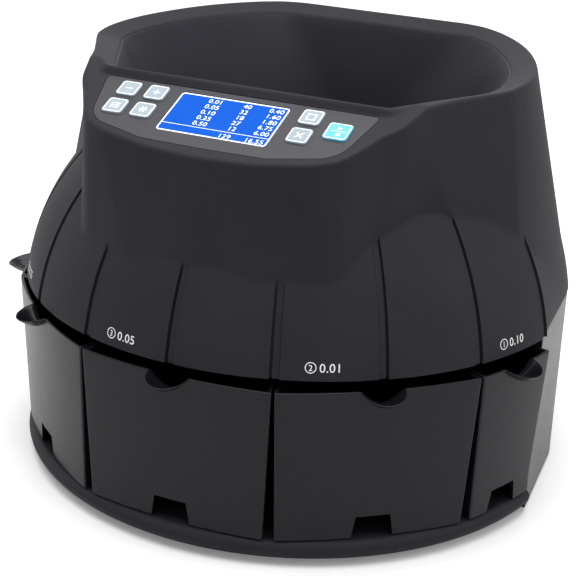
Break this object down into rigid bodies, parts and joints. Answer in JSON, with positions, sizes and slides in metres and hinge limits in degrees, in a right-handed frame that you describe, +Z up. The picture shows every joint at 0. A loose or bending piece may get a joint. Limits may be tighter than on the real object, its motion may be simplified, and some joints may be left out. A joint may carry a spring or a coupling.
{
  "type": "coin counting and sorting machine",
  "caption": "Desktop coin sorter with a top hopper, sloping display and key panel, domed cover and pull-out wedge bins round a circular base.",
  "frame": {"origin": "on the standing surface, under the middle of the whole outline", "axes": "+Z up, the control panel and bins face -Y, +X to the right seen from the front"},
  "size_m": [0.353, 0.3308, 0.2572],
  "materials": {
    "housing_abs": "fine spark-textured charcoal ABS",
    "bin_abs": "satin black ABS",
    "hopper_abs": "satin charcoal ABS",
    "panel_film": "matt printed film",
    "display_glass": "backlit blue display window",
    "key_plastic": "pale blue-grey keys",
    "start_key": "cyan start key",
    "black_plastic": "moulded black plastic",
    "rocker_plastic": "glossy red rocker",
    "rubber": "soft black rubber",
    "deck_aluminium": "brushed aluminium",
    "zinc_steel": "zinc-plated steel",
    "core_steel": "varnished laminations",
    "bronze": "sintered bronze",
    "gear_nylon": "natural nylon",
    "circuit_board": "green solder mask"
  },
  "bodies": {
    "chassis": {"base_tray": "housing_abs", "rubber_feet": "rubber", "core_drum": "housing_abs", "rear_housing": "housing_abs", "sorting_deck": "deck_aluminium", "dome_cover": "housing_abs", "hopper_tower": "housing_abs", "hopper_bowl": "hopper_abs", "panel_fascia": "panel_film", "lcd_window": "display_glass", "lcd_module": "black_plastic", "keypad_board": "circuit_board", "key_switches": "black_plastic", "main_board": "circuit_board", "power_transformer": "core_steel", "drive_motor": "zinc_steel", "motor_bracket": "zinc_steel", "spindle_bearing": "bronze", "sorting_rail": "zinc_steel", "coin_sensor": "black_plastic", "power_inlet": "black_plastic", "switch_bezel": "black_plastic", "printer_port": "black_plastic", "deck_screws": "zinc_steel", "housing_screws": "zinc_steel", "base_screws": "zinc_steel", "motor_screws": "zinc_steel"},
    "bin_1": {"coin_bin_1": "bin_abs"},
    "bin_2": {"coin_bin_2": "bin_abs"},
    "bin_3": {"coin_bin_3": "bin_abs"},
    "bin_4": {"coin_bin_4": "bin_abs"},
    "bin_5": {"coin_bin_5": "bin_abs"},
    "minus_button": {"key_minus": "key_plastic"},
    "plus_button": {"key_plus": "key_plastic"},
    "batch_button": {"key_batch": "key_plastic"},
    "set_button": {"key_set": "key_plastic"},
    "print_button": {"key_print": "key_plastic"},
    "clear_button": {"key_clear": "key_plastic"},
    "start_button": {"key_start": "start_key"},
    "rotor": {"coin_disc": "deck_aluminium", "disc_cap": "black_plastic", "spindle": "zinc_steel", "disc_gear": "gear_nylon"},
    "pinion": {"motor_pinion": "gear_nylon"},
    "rocker": {"power_rocker": "rocker_plastic"}
  },
  "joints": [
    {"name": "bin_1_slide", "type": "slide", "parent": "chassis", "child": "bin_1", "axis": [0.9346, -0.3558, 0], "range_m": [0, 0.095]},
    {"name": "bin_2_slide", "type": "slide", "parent": "chassis", "child": "bin_2", "axis": [0.6363, -0.7714, 0], "range_m": [0, 0.095]},
    {"name": "bin_3_slide", "type": "slide", "parent": "chassis", "child": "bin_3", "axis": [0, -1, 0], "range_m": [0, 0.095]},
    {"name": "bin_4_slide", "type": "slide", "parent": "chassis", "child": "bin_4", "axis": [-0.6363, -0.7714, 0], "range_m": [0, 0.095]},
    {"name": "bin_5_slide", "type": "slide", "parent": "chassis", "child": "bin_5", "axis": [-0.9346, -0.3558, 0], "range_m": [0, 0.095]},
    {"name": "minus_press", "type": "slide", "parent": "chassis", "child": "minus_button", "axis": [0, 0.3911, -0.9204], "range_m": [0, 0.0008], "stiffness_N_per_m": 500},
    {"name": "plus_press", "type": "slide", "parent": "chassis", "child": "plus_button", "axis": [0, 0.3911, -0.9204], "range_m": [0, 0.0008], "stiffness_N_per_m": 500},
    {"name": "batch_press", "type": "slide", "parent": "chassis", "child": "batch_button", "axis": [0, 0.3911, -0.9204], "range_m": [0, 0.0008], "stiffness_N_per_m": 500},
    {"name": "set_press", "type": "slide", "parent": "chassis", "child": "set_button", "axis": [0, 0.3911, -0.9204], "range_m": [0, 0.0008], "stiffness_N_per_m": 500},
    {"name": "print_press", "type": "slide", "parent": "chassis", "child": "print_button", "axis": [0, 0.3911, -0.9204], "range_m": [0, 0.0008], "stiffness_N_per_m": 500},
    {"name": "clear_press", "type": "slide", "parent": "chassis", "child": "clear_button", "axis": [0, 0.3911, -0.9204], "range_m": [0, 0.0008], "stiffness_N_per_m": 500},
    {"name": "start_press", "type": "slide", "parent": "chassis", "child": "start_button", "axis": [0, 0.3911, -0.9204], "range_m": [0, 0.0008], "stiffness_N_per_m": 500},
    {"name": "disc_spin", "type": "hinge", "parent": "chassis", "child": "rotor", "pos_m": [0, 0.01961, 0.12], "axis": [0, 0, 1], "continuous": true},
    {"name": "pinion_spin", "type": "hinge", "parent": "chassis", "child": "pinion", "pos_m": [0, 0.05711, 0.095], "axis": [0, 0, 1], "continuous": true},
    {"name": "rocker_tilt", "type": "hinge", "parent": "chassis", "child": "rocker", "pos_m": [0, 0.15918, 0.042], "axis": [-1, 0, 0], "range_deg": [0, 16]}
  ],
  "couplings": [
    {"joint": "pinion_spin", "follows": "disc_spin", "ratio": -4}
  ]
}
